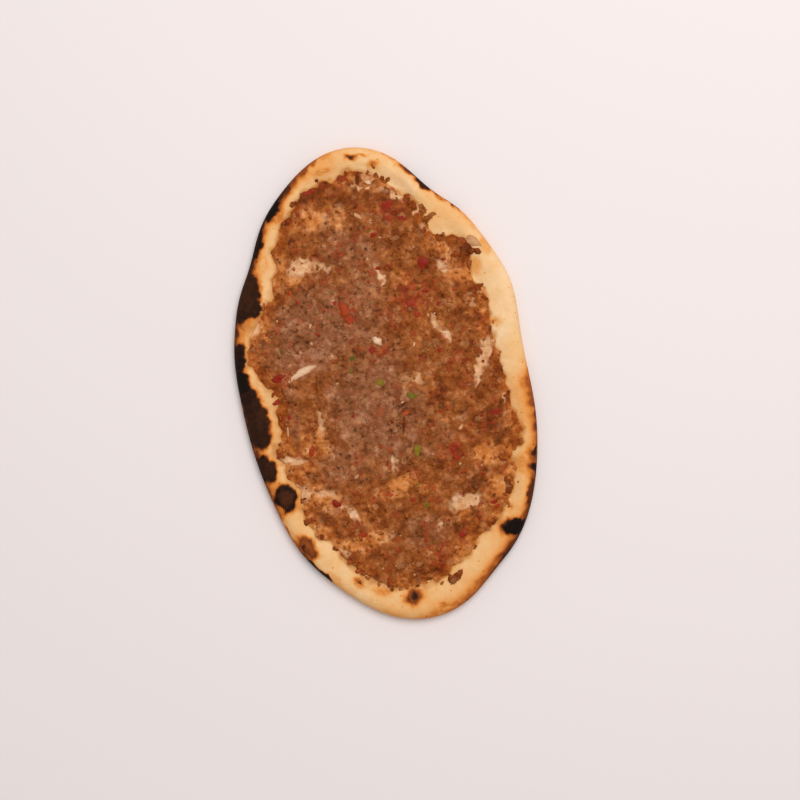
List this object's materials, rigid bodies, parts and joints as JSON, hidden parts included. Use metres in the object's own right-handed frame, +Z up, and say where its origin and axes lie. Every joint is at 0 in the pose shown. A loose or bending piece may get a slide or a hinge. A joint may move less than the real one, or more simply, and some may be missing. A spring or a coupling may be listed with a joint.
{
  "type": "sfiha",
  "caption": "Oval open flatbread with a puffed, unevenly scorched rim round a thin, ragged layer of baked minced meat.",
  "frame": {"origin": "on the surface it lies on, under the middle of the outline's box", "axes": "+Y along the long side, towards the end with the narrower taper; +Z up, topping on top"},
  "size_m": [0.1211, 0.1997, 0.0077],
  "materials": {
    "baked_dough": "dry, soft matt crust: cream, golden to dark brown towards the edge, with burnt bubbles",
    "baked_mince": "moist, finely crumbled, with a low oily sheen"
  },
  "bodies": {
    "root": {"flatbread": "baked_dough", "meat_topping": "baked_mince"}
  },
  "joints": []
}
